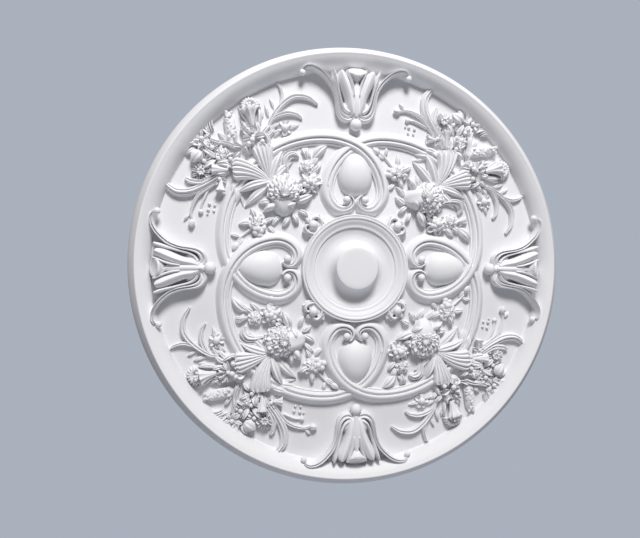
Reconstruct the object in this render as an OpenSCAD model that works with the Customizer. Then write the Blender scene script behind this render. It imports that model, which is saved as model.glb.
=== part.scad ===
// Ceiling rose: a round moulded ornament that is fixed flat to a ceiling round a lamp.
// It is one moulding, so it is one solid. The pattern is one quarter, turned four times.
// Every module draws in the moulder's frame: X to the right, Y up, Z out of the flat back.
// ceiling_rose() then turns the moulding upright: back in the plane Y = 0, ornament facing -Y.
// The origin is the middle of the flat back, where the rose meets the ceiling.

/* [Disc] */
// Overall diameter of the rose
rose_d = 950; // [800:10:1140]
// Height of the rim's lip above the flat back
rim_h = 48; // [40:1:58]
// Width of the moulded rim, from the outside to the foot of its inner slope
rim_w = 44; // [38:1:54]
// Width of the lip on the rim, from its inner edge out over its broad shoulder
lip_w = 20; // [16:1:24]
// Thickness of the flat field behind the ornament
field_t = 12; // [9:1:15]

/* [Centre] */
// Radius of the thin lip round the middle dish
ring_r = 111; // [92:1:118]
// Height of that lip above the flat back
ring_h = 32; // [26:1:38]
// Radius of the flat face of the middle boss, behind the lamp's canopy
boss_r = 45; // [37:1:54]
// Height of the middle boss above the flat back
boss_h = 46; // [38:1:54]
// Width of the outer end of the four tabs round the dish
tab_w = 48; // [40:1:58]

/* [Strapwork] */
// Width of the moulded strap
strap_w = 29; // [24:1:34]
// Height of the strap above the field
strap_h = 17; // [14:1:20]
// How much a strap rises where it passes over the next one
strap_lift = 6; // [5:1:8]

/* [Carving] */
// Height of the four cabochons above the field
cabochon_h = 27; // [22:1:32]
// Height of the tulip leaves above the field
tulip_h = 32; // [26:1:36]
// Height of the sprays of flowers above the field
spray_h = 30; // [25:1:36]
// Height of the big ruffled flowers above the field
posy_h = 42; // [34:1:46]
// How deep the carving is rooted in the field
root = 3; // [3:1:6]

/* [Hidden] */
plaster = [0.93, 0.93, 0.94];
outer_r = rose_d / 2;
foot_r = outer_r - rim_w;
ground = field_t - root;
// How far the top of the rim's inner slope, and the foot of its shoulder, lie below its lip
lip_step = 1.5;
shoulder = 21;
// How far in from the outside the lip's crown stands, as a share of the lip's width
crown = 0.8;
// Width of the middle plate's edge outside the dish's lip
plate_edge = 7;
// Steps in each curve of the disc's profile
arc_n = 10;
// Radius of the balls in the volutes' eyes, of the tulips' balls and of the tabs' berries
eye_r = 12;
ball_r = 12.5;
berry_r = 9.5;

// Cross-sections as [across, up]: across is +-1 at the edges, up is 0 on the field, 1 on top,
// and below 0 in the root.
STRAP = [[-1, -1], [1, -1], [0.95, 0.55], [0.5, 1], [-0.08, 0.66], [-0.6, 0.88]];
RIDGE = [[-1, -1], [1, -1], [0, 1]];
ROLL = [[-1, -1], [1, -1], [0.5, 1], [-0.5, 1]];

function mix(a, b, f) = a + (b - a) * f;

// A station is [x, y, heading, half width, height, lift]. This moves it along an arc of
// radius r that turns by the angle a, which is negative to the right.
function arc_move(s, r, a) =
    let (side = a < 0 ? -1 : 1, cx = s[0] - side * sin(s[2]) * r, cy = s[1] + side * cos(s[2]) * r)
    [cx + side * sin(s[2] + a) * r, cy - side * cos(s[2] + a) * r, s[2] + a];

// The stations of one arc: [radius, sweep, steps, half width, height, lift at its end]
function along(s, arc) = [for (k = [1 : arc[2]])
    let (f = k / arc[2], p = arc_move(s, arc[0], arc[1] * f))
    [p[0], p[1], p[2], mix(s[3], arc[3], f), mix(s[4], arc[4], f), mix(s[5], arc[5], f)]];

// The stations of a chain of arcs that run on from one another
function chain(s, arcs, i = 0) = i >= len(arcs) ? [] :
    let (part = along(s, arcs[i])) concat(part, chain(part[len(part) - 1], arcs, i + 1));

// The ring of points where the cross-section sec stands at station s
function ring_at(s, sec) = [for (q = sec) [
    s[0] - sin(s[2]) * q[0] * s[3],
    s[1] + cos(s[2]) * q[0] * s[3],
    q[1] < 0 ? ground : field_t + s[5] + q[1] * s[4]]];

// The same station on the other side of the quarter's middle line, as the chain runs up to it
function mirrored(s, lift) = [-s[0], s[1], -s[2], s[3], s[4], lift];

// Closed skin over rings of equal length, ends capped
module skin(rings) {
    n = len(rings[0]);
    last = (len(rings) - 1) * n;
    sides = [for (k = [0 : len(rings) - 2], j = [0 : n - 1])
        let (a = k * n + j, b = k * n + (j + 1) % n) each [[a, a + n, b + n], [a, b + n, b]]];
    caps = [[for (j = [0 : n - 1]) j], [for (j = [n - 1 : -1 : 0]) last + j]];
    polyhedron(points = [for (r = rings) each r], faces = concat(sides, caps));
}

// A member of the carving that follows a chain of arcs from its first station
module member(start, arcs, sec) {
    skin([for (s = concat([start], chain(start, arcs))) ring_at(s, sec)]);
}

// A curve that leaves one point level and reaches the next one level
function ogee(r0, h0, r1, h1) = [for (k = [0 : arc_n])
    [mix(r0, r1, k / arc_n), mix(h0, h1, (1 - cos(180 * k / arc_n)) / 2)]];

// The turned disc: boss, dish, thin lip, flat field, rim with its inner slope, lip and shoulder
module disc() {
    boss_foot_r = boss_r * 1.5;
    trough_h = field_t + 3;
    edge = 1.5;
    slope_top = rim_h - lip_step;
    boss = concat([[0, 0], [0, boss_h], [boss_r, boss_h]],
        ogee(boss_r + edge, boss_h - edge, boss_foot_r, trough_h));
    dish = concat(ogee(boss_foot_r + 6, trough_h, ring_r - 2 * edge, ring_h - 2 * edge),
        [[ring_r - edge, ring_h], [ring_r + edge, ring_h], [ring_r + 2 * edge, ring_h - 2 * edge],
            [ring_r + plate_edge, ring_h - 5], [ring_r + plate_edge + 2, field_t]]);
    slope = [for (k = [0 : arc_n]) let (a = 90 * k / arc_n, f = 1 - cos(a))
        [foot_r + (rim_w - lip_w) * f, mix(field_t, slope_top, 0.3 * f + 0.7 * sin(a))]];
    lip = [for (k = [1 : 4]) let (f = k / 4)
        [outer_r - lip_w + (1 - crown) * lip_w * f, mix(slope_top, rim_h, sin(90 * f))]];
    wall = [for (k = [1 : arc_n]) let (a = 90 * k / arc_n, f = sin(a))
        [outer_r - crown * lip_w * (1 - f), rim_h - shoulder * (0.8 * f + 0.2 * (1 - cos(a)))]];
    rotate_extrude($fn = 180) polygon(concat(boss, dish, slope, lip, wall, [[outer_r, 0]]));
}

// A member that swells from a narrow foot and runs out to a tip: leaves, petals and buds
module leaf(x, y, heading, length, width, height, bend = 30) {
    steps = 3;
    r = abs(length / (bend * PI / 180));
    skin([for (k = [0 : steps])
        let (f = k / steps,
             p = arc_move([x, y, heading], r, bend * f),
             swell = 0.14 + 0.86 * pow(sin(22 + 153 * f), 0.8),
             rise = 0.45 + 0.55 * sin(15 + 150 * f))
        ring_at([p[0], p[1], p[2], width / 2 * swell, height * rise, 0], RIDGE)]);
}

// A round lobed flower, seen from above
module bloom(x, y, r, height, lobes = 5, cut = 0.16) {
    n = lobes * 2;
    tiers = [[0.7, -1, cut / 2], [1, 0.75, cut], [0.4, 1, 0]];
    skin([for (t = tiers) [for (j = [0 : n - 1])
        let (a = 360 * j / n, q = r * t[0] * (1 + t[2] * (j % 2 == 0 ? 1 : -1)))
        [x + q * cos(a), y + q * sin(a), t[1] < 0 ? ground : field_t + height * t[1]]]]);
}

// A small ball, its place in shares of the rose's radius and its middle `lift` above the field
module ball(x, y, r, lift) {
    translate([x * outer_r, y * outer_r, field_t + lift]) sphere(r, $fn = 6);
}

// Arcs given in shares of the rose's radius, as arcs in millimetres
function sized(arcs) = [for (a = arcs) concat([a[0] * outer_r], [for (k = [1 : 5]) a[k]])];

// The strap of one quarter. It runs from the volute of one cartouche, out round the quarter
// and back in to the volute of the next. It passes over its neighbour at one end only.
module strap() {
    w = strap_w / 2;
    h = strap_h;
    start = [0, 0.652 * outer_r, 0, w, h, 0];
    half = chain(start, sized([
        [0.457, -45, 3, w, h, 0],
        [0.295, -29, 2, w, h, strap_lift],
        [0.243, -55, 3, w, h, 0],
        [0.1, -56, 2, w * 0.9, h, 0],
        [0.055, -75, 2, w * 0.6, h + 2, 0],
        [0.03, -110, 2, w * 0.3, h + 4, 0]]));
    back = [for (k = [len(half) - 1 : -1 : 0]) mirrored(half[k], 0)];
    skin([for (s = concat(back, [start], half)) ring_at(s, STRAP)]);
}

// The smooth egg-shaped boss inside two strap ends, and the balls in the volutes' eyes
module cabochon() {
    tiers = [[1, -1], [1, 0.3], [0.84, 0.76], [0.45, 1]];
    n = 10;
    skin([for (t = tiers) [for (j = [0 : n - 1]) let (a = 360 * j / n)
        [-0.083 * outer_r * t[0] * sin(a), (0.432 + 0.104 * t[0] * cos(a)) * outer_r,
            t[1] < 0 ? ground : field_t + cabochon_h * t[1]]]]);
    for (side = [-1, 1]) ball(side * 0.043, 0.309, eye_r, strap_h - 2);
}

// The tulip at the end of each axis, with its ball, its bell and two tendrils
module tulip() {
    u = outer_r;
    h = tulip_h;
    for (side = [0, 1]) mirror([side, 0, 0]) {
        member([0.025 * u, 0.672 * u, 40, 7, h * 0.4, 0],
            sized([[0.05, 30, 1, 9, h * 0.8, 0], [0.3, 12, 1, 9, h, 0], [0.5, -10, 1, 6, h * 0.8, 0]]), ROLL);
        member([0.022 * u, 0.692 * u, 80, 6, h * 0.6, 0],
            sized([[0.2, 20, 1, 9, h * 0.9, 0], [0.09, -65, 2, 4, h * 0.7, 0]]), RIDGE);
        member([0.1 * u, 0.795 * u, 76, 4, h * 0.4, 0],
            sized([[0.11, -66, 2, 5, h * 0.3, 0], [0.03, -90, 1, 5, h * 0.3, 0]]), RIDGE);
    }
    leaf(0, 0.675 * u, 90, 0.16 * u, 34, h * 0.75, 1);
    bell = [[0.83, 5, 0.5], [0.87, 14, 0.9], [0.885, 20, 1]];
    skin([for (t = bell) ring_at([0, t[0] * u, 90, t[1], h * t[2], 0], ROLL)]);
    ball(0, 0.656, ball_r, 10);
}

// The spray of leaves and flowers outside the strap, tied where it crosses the diagonal
module spray() {
    u = outer_r;
    h = spray_h;
    for (side = [-1, 1]) {
        leaf(side * 4, 0.548 * u, 90 - side * 22, 0.18 * u, 38, h, side * 30);
        leaf(side * 7, 0.545 * u, 90 - side * 50, 0.2 * u, 34, h * 0.8, side * 26);
        for (k = [0 : 1])
            leaf(side * 0.17 * u, 0.73 * u, 90 - side * (30 + 30 * k), 0.19 * u, 21, 15, side * -48);
    }
    bloom(0.058 * u, 0.722 * u, 27, h);
    bloom(-0.094 * u, 0.763 * u, 23, h * 0.9);
    bloom(-0.165 * u, 0.815 * u, 18, h * 0.6, 3);
    bloom(0.158 * u, 0.82 * u, 18, h * 0.65, 3);
    leaf(-0.06 * u, 0.81 * u, 105, 0.08 * u, 32, h * 0.5, 10);
    leaf(0.02 * u, 0.79 * u, 68, 0.1 * u, 22, h * 0.6, 10);
}

// The posy inside the strap: the big ruffled flower, its leaves and two smaller flowers
module posy() {
    u = outer_r;
    h = posy_h;
    bloom(0, 0.485 * u, 38, h, 6, 0.12);
    for (a = [210 : 60 : 330])
        leaf(24 * cos(a), 0.46 * u + 24 * sin(a), a - 10, 0.085 * u, 34, h * 0.5, 25);
    for (side = [-1, 1]) {
        bloom(side * 0.178 * u, 0.455 * u, 24, h * 0.6);
        leaf(side * 0.2 * u, 0.475 * u, 90 - side * 62, 0.1 * u, 24, h * 0.4, side * 25);
        leaf(side * 0.19 * u, 0.42 * u, 90 - side * 120, 0.09 * u, 18, h * 0.35, side * -25);
    }
}

// The tab of the middle plate on each diagonal, with its berry
module tab() {
    foot = tab_w * 0.4;
    top = 0.29 * outer_r;
    linear_extrude(ring_h - plate_edge)
        polygon([[-foot, ring_r - 12], [foot, ring_r - 12], [tab_w / 2, top], [-tab_w / 2, top]]);
    ball(0, 0.272, berry_r, ring_h - field_t - 4);
}

// The whole pattern: one quarter, turned four times. Its flowers, leaves and straps cross
// each other, so it is joined to one skin by itself before it meets the turned disc.
module carving() {
    for (q = [0 : 3]) rotate(90 * q) {
        cabochon();
        tulip();
        rotate(45) {
            strap();
            spray();
            posy();
            tab();
        }
    }
}

module ceiling_rose() {
    color(plaster) rotate([90, 0, 0]) {
        disc();
        resize([0, 0, 0]) carving();
    }
}

ceiling_rose();
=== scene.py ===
# %% [markdown]
# # A moulded ceiling rose
# The rose is one casting: a turned disc with a heavy rim, four interlaced straps that end in
# volutes, four smooth cabochons, four tulips and a wealth of leaves and flowers. The packed
# model is loaded first, because it fixes the size, and every piece below is fitted to it.

# %% Load the frame and take its sizes
import random
from math import copysign, cos, degrees, hypot, pi, radians, sin, sqrt

import bmesh
import bpy
import numpy as np
from mathutils import Matrix, Vector


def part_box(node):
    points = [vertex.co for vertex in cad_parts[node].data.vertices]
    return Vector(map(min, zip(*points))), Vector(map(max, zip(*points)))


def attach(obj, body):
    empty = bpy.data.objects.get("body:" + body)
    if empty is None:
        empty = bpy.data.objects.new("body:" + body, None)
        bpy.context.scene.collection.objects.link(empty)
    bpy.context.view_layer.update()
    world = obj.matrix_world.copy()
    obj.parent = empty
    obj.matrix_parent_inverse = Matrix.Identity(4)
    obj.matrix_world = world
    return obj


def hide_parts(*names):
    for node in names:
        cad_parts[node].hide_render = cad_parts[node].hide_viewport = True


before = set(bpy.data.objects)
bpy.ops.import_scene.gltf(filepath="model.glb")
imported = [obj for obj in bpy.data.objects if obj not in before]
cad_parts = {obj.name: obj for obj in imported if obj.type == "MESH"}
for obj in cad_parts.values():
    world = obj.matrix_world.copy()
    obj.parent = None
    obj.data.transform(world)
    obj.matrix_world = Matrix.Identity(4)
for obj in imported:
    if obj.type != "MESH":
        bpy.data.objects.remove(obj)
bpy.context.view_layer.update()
low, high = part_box("ceiling_rose")
R = min(high.x - low.x, high.z - low.z) / 2
DEPTH = high.y - low.y
MM = 0.001
CLEAR = 0.1 * MM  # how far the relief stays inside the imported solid
FIELD = 12 * MM  # the plain field's height over the flat back
GROUND = FIELD - 4 * MM  # the foot of every ornament, sunk in the field
print(f"radius {R:.4f} m, depth {DEPTH:.4f} m")

# %% [markdown]
# ## The moulder's frame
# A modeller works with the rose lying on its flat back: x to the right, y up the pattern and
# z out of the back. Every shape is made that way and only the finished mesh is stood upright,
# which keeps each formula short. Shapes are relief, as they leave a mould: each has a top
# surface and sides that run down into the field, so every one is a closed skin. None
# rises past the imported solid's front.

# %% Closed skins
def grid_faces(m, n, closed=False, flip=False):
    """Quads over an m by n grid of points. closed joins the last column to the first."""
    faces = []
    for i in range(m - 1):
        for j in range(n if closed else n - 1):
            a, b = i * n + j, i * n + (j + 1) % n
            faces.append((a, a + n, b + n, b) if not flip else (a, b, b + n, a + n))
    return faces


class Carving:
    """Closed skins gathered into one mesh."""

    def __init__(self):
        self.points, self.faces, self.count = [], [], 0

    def add(self, points, faces):
        start = self.count
        self.points.append(np.asarray(points, float).reshape(-1, 3))
        self.count += len(self.points[-1])
        self.faces += [tuple(start + k for k in f) for f in faces]

    def relief(self, top, ground=GROUND, under=0.3):
        """A top surface, an m by n grid, with sides that lean in as they go down."""
        m, n = top.shape[:2]
        rim = [(0, j) for j in range(n)] + [(i, n - 1) for i in range(1, m)]
        rim += [(m - 1, j) for j in range(n - 2, -1, -1)] + [(i, 0) for i in range(m - 2, 0, -1)]
        spine = top[:, n // 2]
        foot = np.array([top[i, j] + (spine[min(max(i, 1), m - 2)] - top[i, j]) * under for i,
                         j in rim])
        foot[:, 2] = ground
        edge = [i * n + j for i, j in rim]
        first = m * n
        faces = grid_faces(m, n)
        k = len(rim)
        for a in range(k):
            b = (a + 1) % k
            faces.append((edge[a], edge[b], first + b, first + a))
        faces.append(tuple(first + a for a in range(k)))
        self.add(np.vstack([top.reshape(-1, 3), foot]), faces)

    def tube(self, rings):
        """Rings of points along a path, closed round and capped at both ends."""
        m, n = rings.shape[:2]
        faces = grid_faces(m, n, closed=True)
        faces.append(tuple(range(n)))
        faces.append(tuple((m - 1) * n + j for j in range(n - 1, -1, -1)))
        self.add(rings.reshape(-1, 3), faces)

    def mesh(self, name):
        mesh = bpy.data.meshes.new(name)
        points = np.vstack(self.points)
        points[:, 2] = np.minimum(points[:, 2], DEPTH - CLEAR)
        mesh.from_pydata(points.tolist(), [], self.faces)
        mesh.validate()
        return mesh


def link(name, mesh):
    piece = bpy.data.objects.new(name, mesh)
    bpy.context.scene.collection.objects.link(piece)
    return piece

# %% [markdown]
# ## Walking along arcs
# Straps, tendrils and leaves all follow chains of arcs that run on from one another, the way
# a draughtsman draws them with compasses. `walk` turns such a chain into points with their
# headings, and every other value, such as a width, is blended along each arc.

# %% Chains of arcs
def walk(start, arcs, step=2.5 * MM):
    """start is (x, y, heading, values...), an arc (radius, sweep, values... at its end)."""
    rows = [np.array(start, float)]
    for radius, sweep, *values in arcs:
        x, y, heading, *old = rows[-1]
        side = copysign(1, sweep)
        steps = max(2, round(radius * abs(radians(sweep)) / step), round(abs(sweep) / 9))
        cx = x - side * sin(heading) * radius
        cy = y + side * cos(heading) * radius
        for k in range(1, steps + 1):
            f = k / steps
            h = heading + radians(sweep) * f
            blend = [a + (b - a) * f for a, b in zip(old, values)]
            rows.append(np.array([cx + side * sin(h) * radius,
                                  cy - side * cos(h) * radius, h] + blend))
    return np.array(rows)

# %% [markdown]
# ## Blades: the leaf that everything grows from
# Leaves, petals and tulip flaps are one idea: a spine that bends, an outline that gives the
# width along it, an arch that gives its height and a section that gives the shape across.
# A blade is made at unit length and unit height, so it can be stretched to any size.

# %% Outlines, sections and the blade
def leaf_outline(t):
    return np.sin(np.pi * (0.03 + 0.955 * t) ** 0.8) ** 0.85


def petal_outline(t):
    return 0.16 + 0.84 * np.sin(np.pi * (0.02 + 0.9 * t) ** 1.5) ** 0.7


def flare_outline(t):
    return 0.14 + 0.86 * t ** 0.9 * np.clip((1.04 - t) / 0.12, 0, 1) ** 0.5


def strap_outline(t):
    return np.clip(np.minimum((t + 0.05) / 0.2, (1.03 - t) / 0.25), 0.05, 1) ** 0.6


def veined(v, t):
    off = np.abs(v)
    body = 1 - 0.5 * off ** 1.7 - 0.22 * np.exp(-(v / 0.13) ** 2)
    return body + 0.07 * np.sin(np.pi * (9 * t - 2.4 * off)) * off ** 0.5 * (1 - off)


def cupped(v, t):
    return 0.42 + 0.58 * np.abs(v) ** 1.7 - 0.3 * np.clip(np.abs(v) - 0.86, 0, 1) / 0.14


def rounded(v, t):
    return np.sqrt(np.clip(1 - 0.8 * v * v, 0, 1))


def grooved(v, t):
    groove = 0.28 * np.exp(-((v - 0.1) / 0.16) ** 2) * np.sin(np.pi * t) ** 0.5
    return np.sqrt(np.clip(1 - 0.85 * v * v, 0, 1)) - groove


def fluted(v, t, flutes=4):
    ribs = np.abs(np.sin(np.pi * flutes * (v + 1) / 2)) ** 0.6
    return (0.62 + 0.38 * ribs * (0.35 + 0.65 * t)) * (1 - 0.35 * v ** 4)


def blade(width, outline=leaf_outline, section=veined, bend=0, curl=1.0, foot=0.55, tip=0.35,
          top=0.55, ruffle=0.0, waves=3, m=12, n=9):
    """Top surface of a unit blade along +x. foot and tip are its heights at the ends, top
    the place of its highest point, bend the turn of the spine in degrees."""
    t = np.linspace(0, 1, m)
    v = np.sin(np.linspace(-1, 1, n) * np.pi / 2)
    heading = radians(bend) * t ** curl
    dx, dy = np.cos(heading) / (m - 1), np.sin(heading) / (m - 1)
    x = np.concatenate([[0], np.cumsum((dx[1:] + dx[:-1]) / 2)])
    y = np.concatenate([[0], np.cumsum((dy[1:] + dy[:-1]) / 2)])
    half = width / 2 * outline(t)
    rise = np.where(t < top, foot + (1 - foot) * np.sin(np.pi / 2 * t / top),
                    tip + (1 - tip) * np.cos(np.pi / 2 * (t - top) / (1 - top)))
    T, V = np.meshgrid(t, v, indexing="ij")
    z = rise[:, None] * section(V, T)
    z = z + ruffle * np.sin(2 * np.pi * waves * T + 1.5 * V) * np.abs(V) ** 2 * T
    px = x[:, None] - np.sin(heading)[:, None] * half[:, None] * V
    py = y[:, None] + np.cos(heading)[:, None] * half[:, None] * V
    return np.stack([px, py, np.clip(z, 0.02, None)], axis=-1)

# %% [markdown]
# ## Turned shapes
# Balls, buds, bells and berries are round about an axis that leans along the field. A turned
# shape takes a profile of distances and radii along that axis. Lobes make ribs or petals.

# %% Turned shapes
def turned(profile, n=16, tilt=0.0, lobes=0, lobe_depth=0.0):
    """Rings round an axis that starts along +x and is tilted up by tilt degrees."""
    a = np.linspace(0, 2 * np.pi, n, endpoint=False)
    rings = []
    for s, r, *extra in profile:
        ripple = 1 + (extra[0] if extra else lobe_depth) * np.cos(lobes * a) if lobes else 1
        rings.append(np.stack([np.full(n, s), r * ripple * np.cos(a), r * ripple * np.sin(a)], -1))
    rings = np.array(rings)
    c, s = cos(radians(tilt)), sin(radians(tilt))
    x, z = rings[..., 0].copy(), rings[..., 2].copy()
    rings[..., 0], rings[..., 2] = c * x - s * z, s * x + c * z
    return rings


def ball_profile(r, steps=8):
    return [(-r * cos(pi * k / steps), max(0.02 * r, r * sin(pi * k / steps)))
            for k in range(steps + 1)]

# %% [markdown]
# ## Growing things that repeat
# Geometry Nodes makes what a rule repeats: the disc turned from one profile, the strap that
# follows its path, a ring of petals, and the quarter that is turned four times. A tree reads
# a plain mesh and gives a plain mesh back, so what leaves this cell has no modifier.

# %% Node trees built by hand
def wire(tree, kind, settings=None, inputs=None):
    """A new node with its settings, and with its inputs set to values or joined to sockets."""
    node = tree.nodes.new(kind)
    for name, value in (settings or {}).items():
        setattr(node, name, value)
    for name, value in (inputs or {}).items():
        if isinstance(value, bpy.types.NodeSocket):
            tree.links.new(value, node.inputs[name])
        else:
            node.inputs[name].default_value = value
    return node


def maths(tree, operation, *values):
    node = wire(tree, "ShaderNodeMath", {"operation": operation}, dict(enumerate(values)))
    return node.outputs[0]


def geometry_tree(name, **inputs):
    tree = bpy.data.node_groups.new(name, "GeometryNodeTree")
    side = tree.interface
    side.new_socket("Geometry", in_out="INPUT", socket_type="NodeSocketGeometry")
    for label, (kind, value) in inputs.items():
        socket = side.new_socket(label, in_out="INPUT", socket_type="NodeSocket" + kind)
        if value is not None:
            socket.default_value = value
    side.new_socket("Material", in_out="INPUT", socket_type="NodeSocketMaterial")
    side.new_socket("Geometry", in_out="OUTPUT", socket_type="NodeSocketGeometry")
    return tree, tree.nodes.new("NodeGroupInput")


def end_tree(tree, given, geometry):
    real = wire(tree, "GeometryNodeRealizeInstances", None, {0: geometry})
    done = wire(tree, "GeometryNodeSetMaterial", None,
                {"Geometry": real.outputs[0], "Material": given.outputs["Material"]})
    wire(tree, "NodeGroupOutput", None, {0: done.outputs[0]})


def grow(mesh, tree, **values):
    """The plain mesh that a tree makes of a mesh."""
    piece = link("growing", mesh)
    modifier = piece.modifiers.new("grow", "NODES")
    modifier.node_group = tree
    for item in tree.interface.items_tree:
        if item.in_out == "INPUT" and item.name in values:
            modifier[item.identifier] = values[item.name]
    graph = bpy.context.evaluated_depsgraph_get()
    made = bpy.data.meshes.new_from_object(piece.evaluated_get(graph), depsgraph=graph)
    bpy.data.objects.remove(piece)
    return made


def line_mesh(name, lines, closed=False, **values):
    """Polylines as edges only. Each value is one list of numbers for every line."""
    mesh = bpy.data.meshes.new(name)
    points = np.vstack(lines)
    starts = np.cumsum([0] + [len(line) for line in lines])
    edges = [(a + k, a + k + 1) for a, line in zip(starts, lines) for k in range(len(line) - 1)]
    if closed:
        edges += [(a + len(line) - 1, a) for a, line in zip(starts, lines)]
    mesh.from_pydata(points.tolist(), edges, [])
    for label, numbers in values.items():
        layer = mesh.attributes.new(label, "FLOAT", "POINT")
        layer.data.foreach_set("value", np.concatenate(numbers).astype(np.float32))
    return mesh

# %% The quarter turned four times
quarters, given = geometry_tree("turn_quarters", Count=("Int", 4))
turns = given.outputs["Count"]
spots = wire(quarters, "GeometryNodeMeshLine", None, {"Count": turns, "Offset": (0, 0, 0)})
index = wire(quarters, "GeometryNodeInputIndex")
share = maths(quarters, "DIVIDE", index.outputs[0], turns)
angle = maths(quarters, "MULTIPLY", share, 2 * pi)
spin = wire(quarters, "ShaderNodeCombineXYZ", None, {"Z": angle})
copies = wire(quarters, "GeometryNodeInstanceOnPoints", None,
              {"Points": spots.outputs["Mesh"], "Instance": given.outputs["Geometry"],
               "Rotation": spin.outputs[0]})
end_tree(quarters, given, copies.outputs[0])

# %% A ring of petals round a flower's middle
petals, given = geometry_tree("ring_of_petals", Petals=("Int", 6), Radius=("Float", 0.1),
                              Scatter=("Float", 0.1), Seed=("Int", 3))
ring = wire(petals, "GeometryNodeMeshCircle", None,
            {"Vertices": given.outputs["Petals"], "Radius": given.outputs["Radius"]})
index = wire(petals, "GeometryNodeInputIndex")
share = maths(petals, "DIVIDE", index.outputs[0], given.outputs["Petals"])
even = maths(petals, "MULTIPLY", share, 2 * pi)
least = maths(petals, "MULTIPLY", given.outputs["Scatter"], -1.0)
stray = wire(petals, "FunctionNodeRandomValue", {"data_type": "FLOAT"},
             {2: least, 3: given.outputs["Scatter"], "Seed": given.outputs["Seed"]}).outputs[1]
angle = maths(petals, "ADD", even, stray)
spin = wire(petals, "ShaderNodeCombineXYZ", None, {"Z": angle})
size = maths(petals, "MULTIPLY_ADD", stray, 0.5, 1.0)
copies = wire(petals, "GeometryNodeInstanceOnPoints", None,
              {"Points": ring.outputs["Mesh"], "Instance": given.outputs["Geometry"],
               "Rotation": spin.outputs[0], "Scale": size})
end_tree(petals, given, copies.outputs[0])

# %% A moulding that follows a path
# The section is drawn across the path. Its width follows the path's value `wide`, its height
# the value `tall`, and `lift` raises all but the sides' foot, which stays in the ground.
sweep, given = geometry_tree("moulding_on_path", Section=("Object", None),
                             Ground=("Float", GROUND), Field=("Float", FIELD))
path = wire(sweep, "GeometryNodeMeshToCurve", None, {0: given.outputs["Geometry"]})
upright = wire(sweep, "GeometryNodeSetCurveNormal", {"mode": "Z_UP"}, {"Curve": path.outputs[0]})
cut = wire(sweep, "GeometryNodeObjectInfo", None, {"Object": given.outputs["Section"]})
outline = wire(sweep, "GeometryNodeMeshToCurve", None, {0: cut.outputs["Geometry"]})
value = {label: wire(sweep, "GeometryNodeInputNamedAttribute", {"data_type": "FLOAT"},
                     {"Name": label}).outputs[0] for label in ("wide", "tall", "lift")}
skin = wire(sweep, "GeometryNodeCurveToMesh", None,
            {"Curve": upright.outputs[0], "Profile Curve": outline.outputs[0],
             "Scale": value["wide"], "Fill Caps": True})
place = wire(sweep, "GeometryNodeInputPosition")
parts = wire(sweep, "ShaderNodeSeparateXYZ", None, {0: place.outputs[0]})
rise = maths(sweep, "DIVIDE", parts.outputs["Z"], value["wide"])
raised = maths(sweep, "MULTIPLY_ADD", rise, value["tall"], value["lift"])
level = maths(sweep, "ADD", raised, given.outputs["Field"])
below = wire(sweep, "FunctionNodeCompare", {"data_type": "FLOAT", "operation": "LESS_THAN"},
             {0: parts.outputs["Z"], 1: -1e-6})
height = wire(sweep, "GeometryNodeSwitch", {"input_type": "FLOAT"},
              {0: below.outputs[0], "False": level, "True": given.outputs["Ground"]})
there = wire(sweep, "ShaderNodeCombineXYZ", None,
             {"X": parts.outputs["X"], "Y": parts.outputs["Y"], "Z": height.outputs[0]})
moved = wire(sweep, "GeometryNodeSetPosition", None,
             {"Geometry": skin.outputs[0], "Position": there.outputs[0]})
end_tree(sweep, given, moved.outputs[0])

# %% The turned disc's tree
lathe, given = geometry_tree("turned_disc", Segments=("Int", 256))
path = wire(lathe, "GeometryNodeCurvePrimitiveCircle", {"mode": "RADIUS"},
            {"Resolution": given.outputs["Segments"], "Radius": 1.0})
outline = wire(lathe, "GeometryNodeMeshToCurve", None, {0: given.outputs["Geometry"]})
skin = wire(lathe, "GeometryNodeCurveToMesh", None,
            {"Curve": path.outputs[0], "Profile Curve": outline.outputs[0]})
joined = wire(lathe, "GeometryNodeMergeByDistance", None,
              {0: skin.outputs[0], "Distance": 2e-5})
end_tree(lathe, given, joined.outputs[0])

# %% [markdown]
# ## Flowing lines
# Stems, plumes and tendrils are drawn as a few points that the line passes through, each
# with the member's half width and height there. Their sections are drawn once, from the left
# foot over the top to the right foot.

# %% Sections and lines through points
SECTIONS = { "roll": [(-.6, -1), (-.9, .08), (-1, .3), (-.86, .64), (-.5, .91), (0, 1), (.5, .91),
                      (.86, .64), (1, .3), (.9, .08), (.6, -1)], "grooved": [(-.6, -1), (-.92, .1),
                                                                             (-1, .34),
                                                                             (-.82, .76),
                                                                             (-.5, .95),
                                                                             (-.18, .8), (0, .58),
                                                                             (.15, .8), (.5, 1),
                                                                             (.82, .8), (1, .34),
                                                                             (.92, .1), (.6, -1)],
            "fluted": [(-.7, -1), (-.95, .1), (-1, .34), (-.85, .68), (-.64, .74), (-.47, .5),
                       (-.28, .86), (0, 1), (.22, .88), (.4, .54), (.6, .78), (.85, .64), (1, .3),
                       (.95, .1), (.7, -1)], "strap": [(1.3, -1), (1.3, .02), (1.17, .12),
                                                       (1.02, .33), (.86, .57), (.68, .79),
                                                       (.5, .93), (.32, 1), (.17, .98), (.09, .88),
                                                       (.05, .68), (.01, .5), (-.06, .48),
                                                       (-.11, .58), (-.2, .72), (-.36, .79),
                                                       (-.52, .74), (-.64, .6), (-.7, .42),
                                                       (-.74, .32), (-.82, .32), (-.88, .4),
                                                       (-.95, .36), (-1, .2), (-1, -1)], }
section_objects = {}
for name, section in SECTIONS.items():
    drawn = np.array([(-q, -up, 0) for q, up in section], float)
    section_objects[name] = link("section_" + name, line_mesh(name, [drawn], closed=True))


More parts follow.
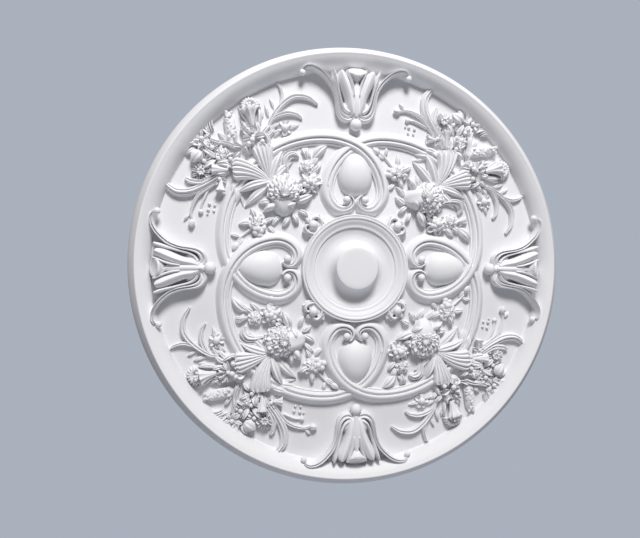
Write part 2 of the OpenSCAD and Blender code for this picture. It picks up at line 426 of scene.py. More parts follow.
def flow(rows, step=2.2 * MM):
    """A smooth line through rows of x, y in radii and half width, height, lift in mm."""
    p = np.array([list(row) + [0] * (5 - len(row)) for row in rows], float)
    p[:, :2] *= R
    p[:, 2:] *= MM
    ends = np.vstack([2 * p[0] - p[1], p, 2 * p[-1] - p[-2]])
    line = []
    for k in range(1, len(ends) - 2):
        a, b, c, d = ends[k - 1:k + 3]
        n = max(3, round(hypot(*(c - b)[:2]) / step))
        for t in np.arange(n) / n:
            line.append(0.5 * (2 * b + (c - a) * t + (2 * a - 5 * b + 4 * c - d) * t ** 2
                               + (3 * b - a - 3 * c + d) * t ** 3))
    line = np.array(line + [p[-1]])
    line[:, 2:4] = np.clip(line[:, 2:4], 0.4 * MM, None)
    return line


def moulded(lines, section, name="moulding"):
    """The mesh of one section along many lines of x, y, half width, height and lift."""
    paths = line_mesh(name,
                      [np.column_stack([line[:, :2], np.zeros(len(line))]) for line in lines],
                      wide=[line[:, 2] for line in lines], tall=[line[:, 3] for line in lines],
                      lift=[line[:, 4] for line in lines])
    return grow(paths, sweep, Section=section_objects[section])


def arrays(mesh):
    points = np.zeros(len(mesh.vertices) * 3, np.float32)
    mesh.vertices.foreach_get("co", points)
    return points.reshape(-1, 3).astype(float), [tuple(p.vertices) for p in mesh.polygons]

# %% [markdown]
# ## The modeller's vocabulary
# With the blade, the turned shape and the flowing line, a few words are enough for the whole
# pattern: leaf, ball, bud, bell, flower. Places are in shares of the rose's radius and
# heights in millimetres above the field, as a modeller would mark them out.

# %% Leaves, buds and flowers
dice = random.Random(11)


def placed(points, x, y, heading):
    """Points turned by a heading in degrees and moved to a place in radii."""
    c, s = cos(radians(heading)), sin(radians(heading))
    u, v = points[..., 0].copy(), points[..., 1].copy()
    points[..., 0], points[..., 1] = x * R + c * u - s * v, y * R + s * u + c * v
    return points


class Ornament(Carving):
    """A carving in the making, with its stems kept back until their paths are all known."""

    def __init__(self):
        super().__init__()
        self.stems = {}

    def stem(self, rows, section="roll"):
        self.stems.setdefault(section, []).append(flow(rows, 2.8 * MM))

    def leaf(self, x, y, heading, length, height, lift=0, **shape):
        top = blade(**shape) * (length * R, length * R, height * MM)
        top[..., 2] += FIELD + lift * MM
        self.relief(placed(top, x, y, heading))

    def leaves(self, *rows, **shape):
        """Leaves of one kind, each with its own width and bend after the height."""
        for *place, width, bend in rows:
            self.leaf(*place, width=width, bend=bend, **shape)

    def round(self, x, y, level, profile, heading=0, tilt=0, **shape):
        """A turned shape; its profile is in shares of the radius, its level in millimetres."""
        rings = placed(turned(profile, tilt=tilt, **shape) * R, x, y, heading)
        rings[..., 2] += FIELD + level * MM
        self.tube(np.maximum(rings, [-9, -9, GROUND]))

    def ball(self, x, y, r, level, **shape):
        self.round(x, y, level, ball_profile(r), **shape)

    def bud(self, x, y, heading, length, r, level, lobes=5, tilt=14):
        profile = [(0, r * .3), (.08 * length, r * .62), (.25 * length, r * .95),
                   (.45 * length, r), (.65 * length, r * .86), (.82 * length, r * .58),
                   (.94 * length, r * .3), (length, r * .05)]
        self.round(x, y, level, profile, heading=heading, tilt=tilt, n=lobes * 6, lobes=lobes,
                   lobe_depth=.1)

    def bell(self, x, y, heading, length, r, level, lobes=8, tilt=12):
        """A flower like a trumpet, with a ribbed outside, a rolled mouth and a hollow."""
        profile = [(0, r * .22, 0), (.1 * length, r * .3, .02), (.35 * length, r * .4, .06),
                   (.6 * length, r * .56, .09), (.82 * length, r * .8, .1),
                   (.96 * length, r * 1.0, .12), (length, r * .98, .12),
                   (.98 * length, r * .84, .1), (.85 * length, r * .55, .05),
                   (.7 * length, r * .3, 0), (.66 * length, r * .03, 0)]
        self.round(x, y, level, profile, heading=heading, tilt=tilt, n=lobes * 5, lobes=lobes)

    def frill(self, x, y, heading, reach, back, top, low, tiers, waves, depth, n, m):
        """A ruffled bloom: frilled tiers that step down from the middle. It reaches further
        towards its heading than back."""
        a = np.linspace(0, 2 * np.pi, n, endpoint=False)
        ahead = (0.5 + 0.5 * np.cos(a - radians(heading))) ** 0.6
        reach = (back + (reach - back) * ahead) * (1 + 0.05 * np.sin(waves * a))
        rings = [(0.72 * reach, np.full(n, GROUND)),
                 (0.97 * reach, np.full(n, FIELD + low * MM * 0.45))]
        for f in np.linspace(1, 0.01, m):
            wavy = 0.2 * np.sin(waves * a + 7 * f) + 0.1 * np.sin((2 * waves + 1) * a - 5 * f)
            step = f * tiers + wavy * min(1, 3 * f)
            part = step - np.floor(step)
            crimp = 0.3 * np.sin(2 * waves * a + 9 * np.floor(step)) * part * min(1, 2.5 * f)
            z = low + (top - low) * (1 - f ** 1.6) + depth * (crimp - 1 + part ** 0.7)
            rings.append((f * reach, FIELD + np.maximum(z, 3) * MM))
        self.tube(np.array([np.stack([(x + r * np.cos(a)) * R, (y + r * np.sin(a)) * R, z], -1)
                            for r, z in rings]))

    def flower(self, x, y, r, height, count=6, heart=0.3, heading=0, shape=None, scatter=0.12,
               lift=0, fan=None, reach=0.2):
        """Petals round a heart. fan limits them to a sector of that many degrees."""
        shape = dict(dict(width=1.15 * 2 * pi / count * 0.62, outline=petal_outline,
                          section=cupped, foot=.5, tip=.72, top=.6, m=8, n=7), **(shape or {}))
        if fan is None:
            petal = Carving()
            top = blade(**shape) * (r * R, r * R, height * MM)
            top[..., 2] += lift * MM
            petal.relief(top, ground=GROUND - FIELD)
            points, faces = arrays(grow(petal.mesh("petal"), petals, Petals=count,
                                        Radius=r * reach * R, Scatter=scatter,
                                        Seed=dice.randrange(1000)))
            points[:, 2] += FIELD
            self.add(placed(points, x, y, heading), faces)
        else:
            for k in range(count):
                way = heading - fan / 2 + fan * k / (count - 1) + dice.uniform(-5, 5)
                size = r * dice.uniform(.92, 1.06)
                self.leaf(x + r * reach * cos(radians(way)),
                          y + r * reach * sin(radians(way)), way, size,
                          height * dice.uniform(.93, 1), lift, **shape)
        if heart:
            self.ball(x, y, r * heart, lift + height * .8 - r * heart * R / MM * .25)

    def whole(self, name, turn=0.0, mirror=False):
        """The finished mesh: stems grown, mirrored if asked, turned about the middle."""
        for section, lines in self.stems.items():
            self.add(*arrays(moulded(lines, section)))
        self.stems = {}
        if mirror:
            points, faces = np.vstack(self.points), list(self.faces)
            self.add(points * [-1, 1, 1], [f[::-1] for f in faces])
        mesh = self.mesh(name)
        mesh.transform(Matrix.Rotation(radians(turn), 4, "Z"))
        return mesh


def finish_piece(name, mesh, angle=40, four=True):
    """Turns a quarter four times, stands it upright and makes it part of the rose."""
    if four:
        mesh = grow(mesh, quarters, Count=4, Material=primer)
    mesh.transform(Matrix.Rotation(pi / 2, 4, "X"))
    work = bmesh.new()
    work.from_mesh(mesh)
    bmesh.ops.recalc_face_normals(work, faces=work.faces)
    work.to_mesh(mesh)
    work.free()
    mesh.name = name
    mesh.materials.clear()
    mesh.materials.append(primer)
    for polygon in mesh.polygons:
        polygon.material_index = 0
    mesh.shade_smooth()
    mesh.set_sharp_from_angle(angle=radians(angle))
    piece = link(name, mesh)
    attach(piece, "root")
    triangles = sum(len(p.vertices) - 2 for p in mesh.polygons)
    print(f"{name}: {triangles} triangles")
    return piece

# %% [markdown]
# ## Matt white primer
# The casting is sold primed: a cool, matt white with the faint orange peel of a spray gun.
# Painted shade makes the colour a little darker in the low hollows and lighter on the raised
# carving. The finish is one expression over the piece's own coordinates, so it runs on
# without a break from piece to piece.

# %% Shader arithmetic
class Term:
    """A shader socket that can be added, multiplied and so on, with numbers too."""

    tree = None

    def __init__(self, socket):
        self.socket = socket

    @classmethod
    def node(cls, kind, settings=None, inputs=None, out=0):
        plain = {k: v.socket if isinstance(v, Term) else v for k, v in (inputs or {}).items()}
        return cls(wire(cls.tree, kind, settings, plain).outputs[out])

    def math(self, operation, *others):
        return Term.node("ShaderNodeMath", {"operation": operation},
                         dict(enumerate((self,) + others)))

    def __add__(self, other):
        return self.math("ADD", other)

    def __mul__(self, other):
        return self.math("MULTIPLY", other)

    def __sub__(self, other):
        return self.math("SUBTRACT", other)

    def __rsub__(self, other):
        return Term.node("ShaderNodeMath", {"operation": "SUBTRACT"}, {0: other, 1: self})

    def __truediv__(self, other):
        return self.math("DIVIDE", other)

    def __rtruediv__(self, other):
        return Term.node("ShaderNodeMath", {"operation": "DIVIDE"}, {0: other, 1: self})

    __radd__ = __add__
    __rmul__ = __mul__

    def clamp(self):
        return Term.node("ShaderNodeClamp", None, {0: self})


def blend_colours(factor, a, b):
    """Colour a where the factor is 0, colour b where it is 1."""
    return Term.node("ShaderNodeMix", {"data_type": "RGBA"}, {0: factor, 6: (*a, 1), 7: (*b, 1)},
                     2)

# %% The primer
primer = bpy.data.materials.new("primed_white")
primer.use_nodes = True
primer.node_tree.nodes.clear()
Term.tree = primer.node_tree
where = Term.node("ShaderNodeTexCoord", out="Object")
depth = Term.node("ShaderNodeSeparateXYZ", None, {0: where}, 1)


def noise(scale, detail, roughness=0.5):
    return Term.node("ShaderNodeTexNoise", None,
                     {"Vector": where, "Scale": scale, "Detail": detail, "Roughness": roughness})


# Painted shade: the colour is darker on the low field and hollows, and lighter the higher the
# carving stands. The cloud noise is a random tone of the paint.
raised = ((depth * -1 - FIELD) / 0.03).clamp()
cloud = noise(9.0, 3.0)
peel = noise(900.0, 2.0)
tone_and_painted_shade = (cloud * 0.55 + raised * 0.5 - 0.02).clamp()
colour = blend_colours(tone_and_painted_shade, (0.815, 0.81, 0.83), (0.90, 0.895, 0.91))
gloss = 0.5 + cloud * 0.14 + peel * 0.06
grain = peel * 0.6 + noise(160.0, 3.0) * 0.4
relief = Term.node("ShaderNodeBump", None, {"Strength": 0.12, "Distance": 0.0006, "Height": grain})
paint = wire(primer.node_tree, "ShaderNodeBsdfPrincipled", None,
             {"Base Color": colour.socket, "Roughness": gloss.socket, "Normal": relief.socket})
paint.inputs["Specular IOR Level"].default_value = 0.35
wire(primer.node_tree, "ShaderNodeOutputMaterial", None, {"Surface": paint.outputs[0]})

# %% [markdown]
# ## The turned disc
# A turner's running mould gives the whole ground: a flat-faced boss on a concave foot, a dish
# that steps up to a thin double lip, the plain field, a slope that is steep at its foot, the
# rim's rounded crown and a nearly straight bevel outside it. The profile is drawn once, in
# millimetres from the middle and from the back, and turned about the middle.

# %% Profile of the middle: boss, dish and lips
def ogee(r0, z0, r1, z1, steps=12, skew=1.0):
    f = np.linspace(0, 1, steps + 1)
    return [(r0 + (r1 - r0) * a, z0 + (z1 - z0) * (1 - cos(pi * a ** skew)) / 2)
            for a in f]


edge, level = (R - CLEAR) / MM, FIELD / MM
boss = [(0, 46), (20, 46), (36, 46), (42, 45.9), (44.6, 45.2), (46, 43.6)]
boss += [(46.4 + 20 * (1 - cos(a)) ** .9, 42.8 - 27.8 * sin(a))
         for a in np.radians(np.linspace(5, 84, 12))]
dish = ogee(71, 14.6, 88.6, 18.2, 10, 1.2)
dish += [(89.2, 18.4), (89.6, 19.2), (90.2, 22.4), (90.8, 23.2), (92, 23.4)]
dish += ogee(94, 23.5, 106.2, 29, 8, .8)
lips = [(106.9, 29.2), (107.3, 29.4), (107.9, 30.7), (109, 31.7), (110.6, 32), (112, 31.6),
        (112.7, 30.4), (112.9, 28.6), (113.6, 28.2), (114.4, 28.6), (115, 30), (116.2, 30.3),
        (117.4, 29.8), (118, 28.4), (118.5, 20), (118.8, 12.2)]
plain = [(119.4, level), (200, level), (300, level), (edge - 47, level)]

# %% Profile of the rim: foot, slope, crown, bevel and the grooved outer wall
SLOPE, CROWN, BEVEL, TOP = 44, 20, 16, 47.9
rim = [(edge - SLOPE - 1.2, 12.2), (edge - SLOPE - .2, 13)]
rim += [(edge - SLOPE + (SLOPE - CROWN) * (1 - cos(a)),
         level + 34.5 * (.3 * (1 - cos(a)) + .7 * sin(a)))
        for a in np.radians(np.linspace(5, 90, 15))]
rim += [(edge - CROWN + 3 * f, 46.5 + 1.4 * sin(pi / 2 * f)) for f in (.3, .6, .9)]
rim += [(edge - BEVEL - .4, TOP), (edge - BEVEL + .4, TOP - .3)]
rim += [(edge - BEVEL + BEVEL * sin(a),
         TOP - 20.9 * (.8 * sin(a) + .2 * (1 - cos(a))))
        for a in np.radians(np.linspace(6, 88, 12))]
wall = [(edge, 25.6), (edge, 22.6), (edge - 1.8, 21.6), (edge - 1.8, 19.6), (edge, 18.6),
        (edge, 1), (edge - .8, 0), (0, 0)]

# %% The profile turned into the disc
profile = boss + dish + lips + plain + rim + wall
turned_line = line_mesh("disc_profile", [np.array([(r * MM - 1, -z * MM, 0) for r, z in profile])])
disc_mesh = grow(turned_line, lathe, Segments=288, Material=primer)
rose_disc = finish_piece("rose_disc", disc_mesh, 32, four=False)
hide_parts("ceiling_rose")

# %% [markdown]
# ## The straps
# One strap belongs to each quarter. It leaves one cartouche, swings out round the quarter and
# returns into the next. At the crossing it passes over its neighbour on one side and under
# on the other, as woven work does, and each end curls down into a volute.

# %% The strap's path and its volutes
W, H = 14.5 * MM, 15 * MM
ARCS = [(.457, -45, W, H, 0), (.295, -29, W, H, 6 * MM), (.243, -55, W, H, 0),
        (.1, -56, W * .92, H, 0), (.055, -75, W * .66, H + 2 * MM, 0),
        (.03, -118, W * .3, H + 4 * MM, 0)]
half = walk((0, .652 * R, 0, W, H, 0), [(arc[0] * R,) + arc[1:] for arc in ARCS])
back = half[:0:-1].copy()
back[:, 0] *= -1
back[:, 5] = 0
strap_line = np.vstack([back, half])[:, [0, 1, 3, 4, 5]]
straps = Ornament()
straps.add(*arrays(moulded([strap_line], "strap")))
finish_piece("rose_straps", straps.whole("straps", turn=45), 42)

# %% [markdown]
# ## Cabochons
# Between two strap ends lies a smooth egg, broad towards the middle. Two small balls sit in
# the eyes of the volutes below it.

# %% The egg and the eyes
eggs = Ornament()
ACROSS, ALONG, HIGH, MIDDLE = .081 * R, .104 * R, 27 * MM, .434 * R
steps_up, steps_round = 16, 72
rings = []
for i in range(steps_up + 1):
    f = sin(pi / 2 * i / steps_up) if i < steps_up else 1.0
    q = max(1 - f, 0.004)
    row = []
    for k in range(steps_round):
        a = 2 * pi * k / steps_round
        row.append((ACROSS * (1 - .2 * cos(a) * q) * q * sin(a),
                    MIDDLE + ALONG * q * cos(a), FIELD + HIGH * (1 - q ** 2.3) ** .62))
    rings.append(row)
skirt = [[(x, y, GROUND) for x, y, z in rings[0]]]
eggs.tube(np.array(skirt + rings))
for side in (-1, 1):
    eggs.ball(side * .0425, .314, .0175, 15, n=24)
finish_piece("rose_cabochons", eggs.whole("eggs"), 50)

# %% [markdown]
# ## Tulips
# On each axis a tulip grows from a ball towards the rim. A grooved outer leaf swells out and
# ends in a hook, a broad inner petal swells beside the middle, and the slanting gap between
# them is left open as a deep eye. A bell stands in the middle. One side is modelled and mirrored.

# %% A tulip, one side mirrored
tulips = Ornament()
tulips.stem([
    (.012, .695, 6, 14), (.036, .684, 8, 17), (.06, .69, 8, 21), (.077, .712, 6.4, 24),
    (.085, .745, 5, 26), (.0895, .775, 4.6, 26), (.098, .805, 5, 26), (.112, .833, 5.2, 27),
    (.135, .86, 5, 28), (.162, .883, 4.6, 30), (.195, .898, 4.2, 31), (.225, .898, 3.6, 31),
    (.241, .887, 3, 28)], "grooved")
tulips.stem([
    (.012, .703, 8, 22), (.022, .733, 10, 27), (.029, .77, 10.5, 31), (.04, .803, 11.5, 34),
    (.052, .832, 12.5, 36), (.063, .856, 12.5, 37), (.07, .874, 10.5, 37), (.074, .884, 7, 35)
], "roll")
tulips.stem([
    (.03, .708, 5, 20), (.052, .722, 3.2, 21), (.066, .748, 2.8, 23), (.0745, .78, 2.8, 24),
    (.083, .81, 3.6, 27), (.0915, .842, 5, 31), (.1, .87, 5, 34), (.107, .889, 3, 33)], "roll")
tulips.stem([
    (.012, .78, 3, 31), (.017, .815, 3.4, 34), (.027, .848, 3.6, 35), (.039, .876, 3.4, 35),
    (.045, .894, 2, 31)], "roll")
tulips.ball(.245, .873, .0145, 20, n=16)
tulip_sides = tulips.whole("tulip_sides", mirror=True)
tulips = Ornament()
tulips.add(*arrays(tulip_sides))
tulips.ball(0, .656, .0275, 12, n=24)
tulips.ball(0, .686, .014, 12, n=16)
tulips.leaf(0, .676, 90, .1, 22, width=1.2, outline=petal_outline, section=rounded, m=14, n=17)
tulips.leaf(0, .69, 90, .165, 29, width=.27, outline=strap_outline, section=rounded, foot=.8,
            tip=.9, m=16, n=15)
tulips.round(0, .828, 7, [(0, .006), (.012, .011), (.03, .019), (.05, .029), (.062, .037),
                          (.069, .042), (.074, .041), (.076, .036), (.073, .029), (.073, .002)],
             heading=90, tilt=36, n=36)
finish_piece("rose_tulips", tulips.whole("tulips"), 48)

# %% [markdown]
# ## Tabs of the middle plate
# On each diagonal the plate round the dish runs out in a small flared tab with a berry
# between two curls.

# %% A tab with its berry
tabs = Ornament()
t, v = np.linspace(0, 1, 9), np.linspace(-1, 1, 13)
T, V = np.meshgrid(t, v, indexing="ij")
tab_half = (.034 + .03 * T ** 1.3) * R
tabs.relief(np.stack([V * tab_half, (.225 + .058 * T) * R - .012 * R * np.abs(V) ** 2 * T,
                      FIELD + (13 - 1.5 * T - 2.2 * (np.abs(V) > .9)) * MM], -1))
for side in (-1, 1):
    tabs.stem([(side * .04, .243, 2, 15), (side * .044, .262, 2, 15), (side * .052, .292, 2, 14)],
              "roll")
    tabs.stem([(side * .012, .236, 3, 17), (side * .03, .252, 3.5, 18), (side * .041, .275, 4, 19),
               (side * .036, .294, 4, 20), (side * .02, .298, 3, 18), (side * .014, .288, 2, 16)],
              "roll")
    tabs.leaf(side * .01, .24, 90 - side * 18, .045, 17, width=.42, m=8, n=7)
tabs.ball(0, .279, .021, 16, n=18)
tabs.leaf(0, .292, 90, .035, 17, width=.6, m=8, n=7)
finish_piece("rose_tabs", tabs.whole("tabs", turn=45), 48)

# %% [markdown]
# ## Posies inside the straps
# Each quarter holds a posy: a big ruffled flower that shows its smooth cup to the middle,
# two smaller flowers beside it and broad leaves that fill the corners.

# %% The ruffled flower and its leaves
posies = Ornament()
small_petal = dict(section=cupped, outline=petal_outline)
posies.round(-.06, .392, 3, [(0, .012), (.008, .026), (.022, .038), (.042, .047), (.064, .052),
                             (.084, .052), (.1, .046), (.108, .026), (.11, .004)], heading=56,
             tilt=6, n=40, lobes=6, lobe_depth=.05)
posies.frill(.002, .462, 57, .094, .03, 41.5, 21, tiers=3.4, waves=11, depth=8, n=132, m=34)
for k in range(16):
    a, d = radians(dice.uniform(-50, 165)), dice.uniform(.012, .075)
    posies.leaf(.002 + d * cos(a), .464 + d * sin(a), degrees(a) + dice.uniform(-60, 60), .03,
                41 - 170 * d, width=.8, **small_petal, m=7, n=9, ruffle=.14, waves=1.5)
posies.leaf(-.05, .455, 152, .075, 26, width=.46, bend=22, section=rounded)
posies.leaves((-.06, .48, 128, .06, 18, .46, 24), (.02, .41, -34, .085, 25, .46, 22))
posies.leaf(.015, .405, 172, .06, 31, width=.5, bend=-22, section=rounded)
posies.leaves(
    (-.045, .385, 205, .06, 15, .5, -26), (-.03, .378, 250, .05, 17, .5, 20),
    (.0, .37, 300, .05, 17, .46, -24), (-.075, .41, 172, .06, 12, .4, 20),
    (.04, .43, 0, .06, 18, .44, 24), (-.06, .55, 160, .065, 11, .44, 24))

# %% The companion at the right
posies.flower(.127, .424, .042, 17, count=6, heart=0, heading=20, lift=0)
for k in range(11):
    a, d = k * 2.4, .009 * sqrt(k)
    posies.ball(.127 + d * cos(a), .424 + d * sin(a), .0125, 19 - 300 * d + 3, n=12)
posies.frill(.166, .483, 60, .034, .03, 19, 10, tiers=1.8, waves=5, depth=5, n=60, m=16)
posies.leaves(
    (.15, .46, 88, .05, 14, .5, 22), (.17, .45, -12, .06, 14, .42, 26),
    (.19, .47, 20, .05, 13, .46, -22), (.15, .40, -40, .075, 12, .34, -28))
posies.leaf(.19, .5, 62, .06, 15, width=.62, outline=flare_outline, section=fluted, bend=-8, n=15)
posies.leaves((.22, .49, 14, .085, 17, .5, -30), (.215, .505, 100, .05, 12, .4, 20))
posies.stem([(.15, .44, 3, 9), (.185, .475, 2.8, 8), (.22, .49, 3, 9)], "roll")
posies.stem([
    (.08, .52, 3, 10), (.1, .55, 7, 15), (.13, .572, 9, 17), (.16, .565, 8, 15), (.172, .54, 3, 9)
], "fluted")
posies.stem([(.07, .53, 3, 8), (.085, .57, 4, 10), (.12, .598, 4, 9), (.15, .6, 2, 7)], "grooved")

# %% The companion at the left
posies.frill(-.172, .458, 60, .046, .03, 22, 12, tiers=1.8, waves=5, depth=6, n=60, m=18)
for k in range(9):
    a, d = k * 2.4, .0105 * sqrt(k)
    posies.ball(-.19 + d * cos(a), .438 + d * sin(a), .014, 15 - 200 * d, n=12)
posies.leaves(
    (-.165, .475, 62, .055, 22, .46, 20), (-.19, .475, 128, .06, 16, .42, 22),
    (-.15, .445, -32, .055, 15, .42, 22), (-.2, .43, 232, .05, 10, .5, 22),
    (-.15, .415, 280, .05, 10, .44, -22))
posies.stem([
    (-.2, .46, 3, 9), (-.24, .464, 2.6, 7), (-.28, .466, 2.4, 7), (-.31, .458, 2.2, 7)], "roll")
posies.leaves((-.272, .472, 112, .04, 10, .46, 26), (-.265, .46, 205, .05, 9, .42, -26))
posies.bud(-.298, .458, 192, .04, .0135, 6)
finish_piece("rose_posies", posies.whole("posies", turn=45), 48)

# %% [markdown]
# ## Sprays outside the straps
# Where the straps cross, a spray is tied. Two ribbed trumpets open from the tie, flowers and
# buds crowd above them, and long plumes sweep away to both sides with berries beneath.

# %% Two trumpets and the leaves beside them
sprays = Ornament()
trumpet = dict(outline=flare_outline, section=lambda v, t: fluted(v, t, 5), curl=1.3, foot=.5,
               tip=.88, top=.8, m=22, n=29)
sprays.leaf(.0, .55, 104, .175, 31, width=.66, bend=34, **trumpet)
sprays.leaf(.006, .555, 62, .155, 29, width=.7, bend=-6, **trumpet)
sprays.leaves(
    (.0, .55, 146, .16, 25, .26, 22), (.004, .55, 34, .15, 22, .26, -22),
    section=grooved, curl=1.3, m=18)
sprays.leaf(-.01, .545, 172, .15, 16, width=.28, section=grooved, bend=12)
sprays.leaf(.01, .545, 10, .13, 14, width=.28, section=veined, bend=-20)

# %% Open petals above the trumpets
for side, x, y in ((0, .045, .727), (1, .0945, .694)):
    for k, size in enumerate((.05, .044, .04)):
        way = 250 - 62 * k + side * (60 * k - 40)
        sprays.leaf(x - .012 * cos(radians(way)), y - .012 * sin(radians(way)), way, size,
                    29 - 3 * k, width=.92, **small_petal, ruffle=.05)
    sprays.ball(x, y, .011, 25, n=12)
sprays.flower(.082, .738, .045, 26, count=5, heart=.22, heading=60, fan=170, reach=.1,
              shape=dict(width=.62, ruffle=.06))
sprays.leaf(.02, .745, 130, .05, 24, width=.5, **small_petal)
sprays.ball(.0665, .7285, .0125, 27, n=12)
sprays.flower(.087, .78, .026, 19, count=6, heart=.3)
sprays.leaf(.115, .66, 62, .075, 19, width=.3, section=grooved, bend=24)
sprays.leaf(.1, .65, 45, .075, 16, width=.26, section=veined, bend=30)

# %% Lilies, a bell and small flowers to the left
lily = dict(width=.42, outline=leaf_outline, section=veined, tip=.6)
sprays.frill(-.07, .775, 110, .03, .024, 23, 14, tiers=1.6, waves=5, depth=6, n=48, m=12)
sprays.flower(-.096, .775, .062, 23, count=6, heart=.16, heading=100, shape=lily, scatter=.2)
sprays.flower(-.06, .735, .05, 27, count=5, heart=.2, heading=70, shape=lily, scatter=.2)
sprays.leaf(-.075, .71, 118, .075, 24, width=.42, section=grooved, bend=20)
sprays.leaf(-.1, .705, 155, .08, 22, width=.36, section=veined, bend=-24)
sprays.bell(-.1, .71, 134, .072, .024, 15, lobes=7, tilt=4)
sprays.bud(-.128, .85, 188, .062, .0245, 13, lobes=7, tilt=2)
sprays.flower(-.148, .808, .03, 20, count=6, heart=.34, scatter=.1)
sprays.flower(-.19, .785, .036, 17, count=9, heart=.36, scatter=.1, shape=dict(width=.4))
for k in range(7):
    a = k * .9
    sprays.ball(-.19 + .013 * cos(a), .785 + .013 * sin(a), .006, 19, n=7)
sprays.leaves((-.17, .76, 200, .04, 14, .5, 20), (-.125, .765, 172, .05, 17, .42, 24))

# %% Leaves and buds near the rim
sprays.flower(-.085, .885, .042, 17, count=7, heart=.26, scatter=.25,
              shape=dict(width=.5, outline=leaf_outline, section=veined))
for k in range(6):
    sprays.leaf(-.062 + .009 * k, .89 - .002 * k, 96 - 4 * k, .05, 13 + k, width=.17,
                section=grooved, bend=-52, m=9, n=5)
sprays.leaves((-.11, .895, 146, .06, 17, .5, 22), (-.13, .875, 178, .055, 15, .46, -22))
sprays.leaves((-.05, .868, 78, .055, 18, .5, 0), (-.1, .86, 120, .05, 20, .5, 0), **small_petal)
sprays.flower(-.081, .826, .026, 18, count=6, heart=.42)
sprays.stem([
    (.0, .76, 5, 18), (-.02, .8, 5, 17), (-.045, .83, 5, 15), (-.06, .86, 4, 13)], "grooved")
sprays.leaves((-.02, .79, 120, .07, 17, .34, 20), (-.01, .81, 84, .05, 12, .4, 20))

# %% A spike of beads, a large bell and the tufts round them
sprays.leaf(.0, .78, 56, .14, 17, width=.36, outline=strap_outline, section=rounded, bend=-6, m=14,
            n=9)
for k in range(34):
    f, g = dice.uniform(.12, .98), dice.uniform(-.8, .8)
    sprays.ball(.0 + .14 * f * .6 + .021 * g * .8, .78 + .14 * f * .8 - .021 * g * .6, .0066,
                17 * (1 - .3 * g * g) - 1.5, n=6)

sprays.bell(.117, .775, 58, .075, .036, 13, lobes=9, tilt=4)
for k in range(11):
    a = radians(-40 + 19 * k)
    sprays.leaf(.168 + .012 * cos(a), .842 + .012 * sin(a), -40 + 19 * k, .036, 21, width=.42, m=7,
                n=5, ruffle=.06)
for k in range(8):
    a, d = k * 2.4, .007 * sqrt(k)
    sprays.ball(.165 + d * cos(a), .84 + d * sin(a), .008, 21, n=7)
sprays.leaves(
    (.112, .77, 86, .115, 17, .17, -14), (.13, .757, 24, .095, 17, .22, 40),
    (.1, .765, 100, .07, 14, .3, -20), section=veined)

# %% Leaves and a flower beside the trumpets
sprays.leaves(
    (.12, .72, 18, .06, 18, .4, -24), (.115, .735, 52, .055, 20, .42, 20),
    (.125, .705, -12, .06, 14, .36, 20))
sprays.flower(.2184, .674, .028, 12, count=5, heart=.6)
sprays.leaves((.205, .68, 170, .05, 9, .34, 18), (.225, .67, -34, .058, 9, .3, 10))
sprays.stem([(.13, .7, 3, 9), (.165, .695, 3, 8), (.2, .682, 2.6, 8)], "roll")
sprays.leaf(.16, .715, 0, .06, 10, width=.3, bend=-26)

# %% Plumes to the right
sprays.stem([
    (.165, .72, 3, 11), (.19, .738, 4, 12), (.236, .751, 5, 13), (.3, .756, 6, 13),
    (.352, .742, 6, 13), (.39, .7, 5, 12), (.404, .65, 2.4, 8)], "grooved")
sprays.stem([
    (.17, .727, 3, 9), (.2, .738, 3.6, 11), (.232, .734, 5, 12), (.272, .714, 5.4, 12),
    (.3, .68, 4, 10), (.306, .652, 2.2, 7)], "grooved")
sprays.stem([
    (.215, .742, 2, 8), (.252, .753, 3.4, 11), (.29, .768, 4, 12), (.316, .788, 4, 11),
    (.333, .82, 3, 9), (.334, .84, 1.6, 6)], "grooved")
sprays.leaves(
    (.246, .77, 62, .045, 8, .3, 20), (.2, .76, 50, .055, 10, .3, 24),
    (.17, .775, 30, .045, 9, .32, 20))

# %% Plumes to the left, with berries and hanging leaves beneath
sprays.stem([
    (-.12, .712, 5, 15), (-.165, .722, 6, 15), (-.22, .734, 8, 15), (-.284, .758, 9.5, 15),
    (-.325, .795, 9, 15), (-.336, .838, 7, 13), (-.33, .865, 4, 10)], "fluted")
sprays.stem([
    (-.155, .735, 4, 13), (-.19, .745, 5.4, 14), (-.222, .758, 6.4, 14), (-.25, .79, 6, 13),
    (-.257, .815, 3, 9)], "grooved")
sprays.stem([
    (-.14, .7, 4, 11), (-.185, .712, 4.6, 11), (-.23, .72, 4.6, 11), (-.274, .724, 4.4, 11),
    (-.318, .71, 4, 10), (-.35, .69, 3, 8), (-.37, .66, 2.4, 7)], "grooved")
sprays.stem([
    (-.21, .716, 2, 7), (-.25, .702, 3, 8), (-.285, .688, 2.6, 8), (-.31, .67, 2, 6)], "roll")
sprays.bud(-.366, .668, 222, .036, .0145, 5)
sprays.leaf(-.36, .69, 168, .035, 8, width=.36, bend=24)
sprays.ball(-.314, .666, .011, 4, n=12)
for x, y, r in ((-.262, .665, .0075), (-.285, .65, .0075), (-.25, .645, .006),
                (-.27, .63, .006), (-.3, .64, .005)):
    sprays.ball(x, y, r, 2.5, n=7)
sprays.bell(-.152, .702, 222, .05, .022, 12, tilt=4)
sprays.flower(-.155, .708, .024, 17, count=6, heart=.4)
sprays.leaf(-.105, .65, 226, .1, 14, width=.42, outline=leaf_outline, section=veined, bend=-6,
            m=16)
sprays.leaf(-.1, .66, 200, .085, 18, width=.34, section=grooved, outline=petal_outline, bend=18)
sprays.leaves(
    (-.12, .625, 244, .085, 7, .2, -12), (-.135, .64, 208, .08, 7, .2, 14),
    (.14, .66, -40, .055, 8, .3, -20))
finish_piece("rose_sprays", sprays.whole("sprays", turn=45), 48)

# %% The drawn sections have done their work
for drawn in section_objects.values():
    bpy.data.objects.remove(drawn)

# %% [markdown]
# ## Looking at it
# The rose stands upright on its own, so that its flat back can be seen too. A pale floor with
# a light of its own lies three metres below. One soft box stands above and in front, and
# shades the slope under the top rim a little. The camera is a little to the left, almost level.

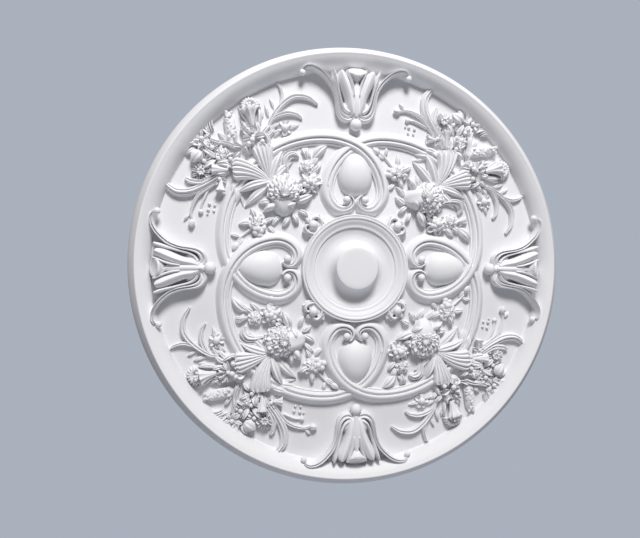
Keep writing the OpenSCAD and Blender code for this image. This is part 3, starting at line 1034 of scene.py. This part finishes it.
# %% Air and floor
world = bpy.data.worlds.new("studio")
bpy.context.scene.world = world
world.use_nodes = True
sky = world.node_tree.nodes["Background"]
Term.tree = world.node_tree
seen = Term.node("ShaderNodeLightPath", out="Is Camera Ray")
AMBIENT, BACKDROP = (0.145, 0.142, 0.15), (0.40, 0.44, 0.51)
tint = blend_colours(seen, AMBIENT, BACKDROP)
world.node_tree.links.new(tint.socket, sky.inputs["Color"])
bpy.context.scene.view_settings.view_transform = "Standard"

floor_mesh = bpy.data.meshes.new("floor")
SPREAD, DOWN = 4.5, -3
corners = [(x * SPREAD, y * SPREAD, DOWN) for x, y in ((-1, -1), (1, -1), (1, 1), (-1, 1))]
floor_mesh.from_pydata(corners, [], [(0, 1, 2, 3)])
floor = link("floor", floor_mesh)
pale = bpy.data.materials.new("pale_floor")
pale.use_nodes = True
coat = pale.node_tree.nodes["Principled BSDF"]
coat.inputs["Base Color"].default_value = (0.62, 0.66, 0.73, 1)
coat.inputs["Roughness"].default_value = 0.8
floor_mesh.materials.append(pale)

# %% Lights
def soft_box(name, place, aim, size, power):
    lamp = bpy.data.lights.new(name, "AREA")
    lamp.shape, lamp.size, lamp.energy = "DISK", size, power
    holder = bpy.data.objects.new(name, lamp)
    holder.location = place
    holder.rotation_euler = (Vector(aim) - Vector(place)).to_track_quat("-Z", "Y").to_euler()
    bpy.context.scene.collection.objects.link(holder)


soft_box("key", (.1, -2.15, 2.5), (0, 0, 0), 1.0, 110)
soft_box("floor_light", (0, 0, -2.2), (0, 0, DOWN), 2 * SPREAD, 75)

# %% Camera
camera = bpy.data.objects.new("camera", bpy.data.cameras.new("camera"))
bpy.context.scene.collection.objects.link(camera)
bpy.context.scene.camera = camera
camera.data.sensor_width = 36
camera.data.clip_start = 0.05
away, azimuth, elevation = 1.30, radians(-10.6), radians(-1.1)
camera.location = (away * sin(azimuth) * cos(elevation),
                   -away * cos(azimuth) * cos(elevation), away * sin(elevation))
aim = Vector((-.004, 0, -.072))
camera.rotation_euler = (aim - camera.location).to_track_quat("-Z", "Y").to_euler()
camera.data.lens = 32.68125
camera.data.shift_x, camera.data.shift_y = -0.05, 0.05
